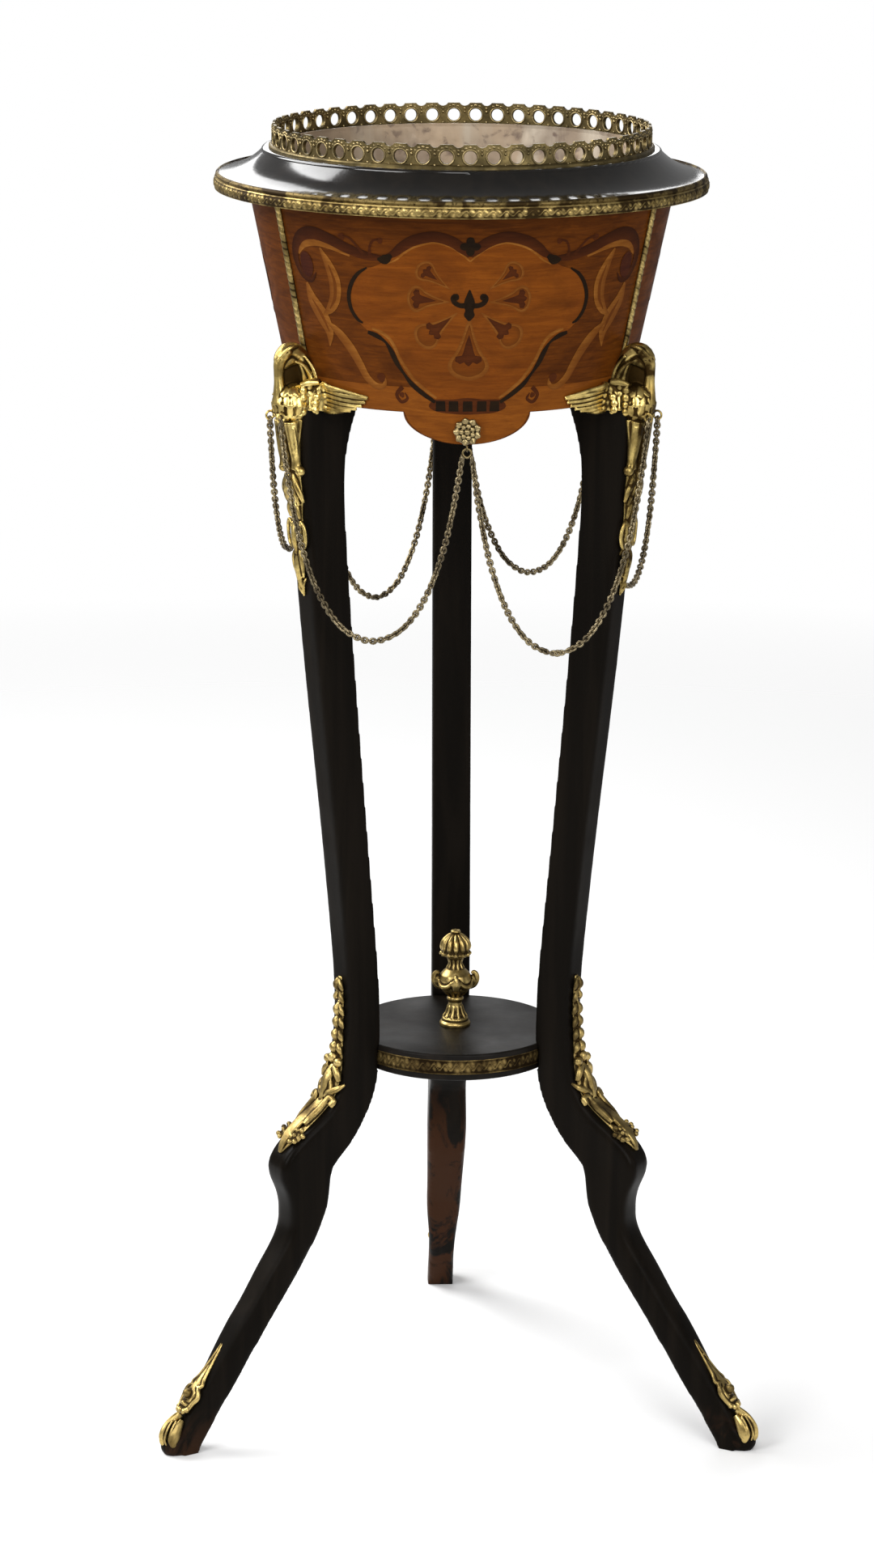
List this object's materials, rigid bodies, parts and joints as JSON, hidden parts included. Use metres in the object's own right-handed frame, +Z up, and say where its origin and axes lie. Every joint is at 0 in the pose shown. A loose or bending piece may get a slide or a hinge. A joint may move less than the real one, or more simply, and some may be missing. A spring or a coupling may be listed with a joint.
{
  "type": "jardiniere stand",
  "caption": "Three-legged jardiniere stand: bowed bowl with rim and pierced gallery, lift-out liner, undertier with urn, cast mounts and hanging chain swags.",
  "frame": {"origin": "on the floor, under the middle of the whole stand's box", "axes": "+Z up; -Y to the front, between the two front legs; +X to the right of someone looking at the front"},
  "size_m": [0.5536, 0.523, 1.1515],
  "materials": {
    "marquetry": "satin",
    "ebonised_wood": "satin",
    "carcase_wood": "matte",
    "gilt_bronze": "satin",
    "brass": "satin",
    "zinc": "matte",
    "iron": "matte",
    "steel": "satin"
  },
  "bodies": {
    "stand": {"marquetry_panel_front": "marquetry", "marquetry_panel_rear_right": "marquetry", "marquetry_panel_rear_left": "marquetry", "corner_bead_front_left": "gilt_bronze", "corner_bead_front_right": "gilt_bronze", "corner_bead_back": "gilt_bronze", "bowl_floor": "carcase_wood", "rim_moulding": "ebonised_wood", "rim_band": "gilt_bronze", "gallery": "brass", "gallery_pins": "brass", "undertier": "ebonised_wood", "undertier_band": "gilt_bronze", "urn_finial": "gilt_bronze", "finial_stud": "steel", "finial_washer": "steel", "finial_nut": "steel", "leg_front_left": "ebonised_wood", "leg_front_right": "ebonised_wood", "leg_back": "ebonised_wood", "leg_screws": "steel", "undertier_screws": "steel", "bird_mount_front_left": "gilt_bronze", "bird_mount_front_right": "gilt_bronze", "bird_mount_back": "gilt_bronze", "knee_mount_front_left": "gilt_bronze", "knee_mount_front_right": "gilt_bronze", "knee_mount_back": "gilt_bronze", "foot_mount_front_left": "gilt_bronze", "foot_mount_front_right": "gilt_bronze", "foot_mount_back": "gilt_bronze", "mount_pins": "brass", "rosette_front": "gilt_bronze", "rosette_ring_front": "brass", "rosette_rear_right": "gilt_bronze", "rosette_ring_rear_right": "brass", "rosette_rear_left": "gilt_bronze", "rosette_ring_rear_left": "brass", "rosette_nuts": "brass"},
    "liner_body": {"liner": "zinc", "liner_clips": "zinc"},
    "lift_ring_left_body": {"lift_ring_left": "iron"},
    "lift_ring_right_body": {"lift_ring_right": "iron"},
    "chain_front_left_body": {"chain_front_left": "brass"},
    "chain_front_right_body": {"chain_front_right": "brass"},
    "chain_side_left_body": {"chain_side_left": "brass"},
    "chain_side_right_body": {"chain_side_right": "brass"},
    "chain_back_left_body": {"chain_back_left": "brass"},
    "chain_back_right_body": {"chain_back_right": "brass"}
  },
  "joints": [
    {"name": "liner_lift", "type": "slide", "parent": "stand", "child": "liner_body", "axis": [0, 0, 1], "range_m": [0, 0.2]},
    {"name": "lift_ring_left_swing", "type": "hinge", "parent": "liner_body", "child": "lift_ring_left_body", "pos_m": [-0.14652, -0.0495, 1.1155], "axis": [0, -1, 0], "range_deg": [0, 110]},
    {"name": "lift_ring_right_swing", "type": "hinge", "parent": "liner_body", "child": "lift_ring_right_body", "pos_m": [0.14652, -0.0495, 1.1155], "axis": [0, 1, 0], "range_deg": [0, 110]},
    {"name": "chain_front_left_swing", "type": "hinge", "parent": "stand", "child": "chain_front_left_body", "pos_m": [-0.15528, -0.14954, 0.909], "axis": [-0.9497, 0.2813, 0.1378], "range_deg": [-2, 25]},
    {"name": "chain_front_right_swing", "type": "hinge", "parent": "stand", "child": "chain_front_right_body", "pos_m": [0.15528, -0.14954, 0.909], "axis": [-0.9497, -0.2813, -0.1378], "range_deg": [-2, 25]},
    {"name": "chain_side_left_swing", "type": "hinge", "parent": "stand", "child": "chain_side_left_body", "pos_m": [-0.16428, -0.13396, 0.909], "axis": [0.2312, 0.9631, -0.1378], "range_deg": [-2, 25]},
    {"name": "chain_side_right_swing", "type": "hinge", "parent": "stand", "child": "chain_side_right_body", "pos_m": [0.16428, -0.13396, 0.909], "axis": [0.2312, -0.9631, 0.1378], "range_deg": [-2, 25]},
    {"name": "chain_back_left_swing", "type": "hinge", "parent": "stand", "child": "chain_back_left_body", "pos_m": [-0.009, 0.135, 0.909], "axis": [0.7185, 0.6818, 0.1378], "range_deg": [-2, 25]},
    {"name": "chain_back_right_swing", "type": "hinge", "parent": "stand", "child": "chain_back_right_body", "pos_m": [0.009, 0.135, 0.909], "axis": [0.7185, -0.6818, -0.1378], "range_deg": [-2, 25]}
  ]
}
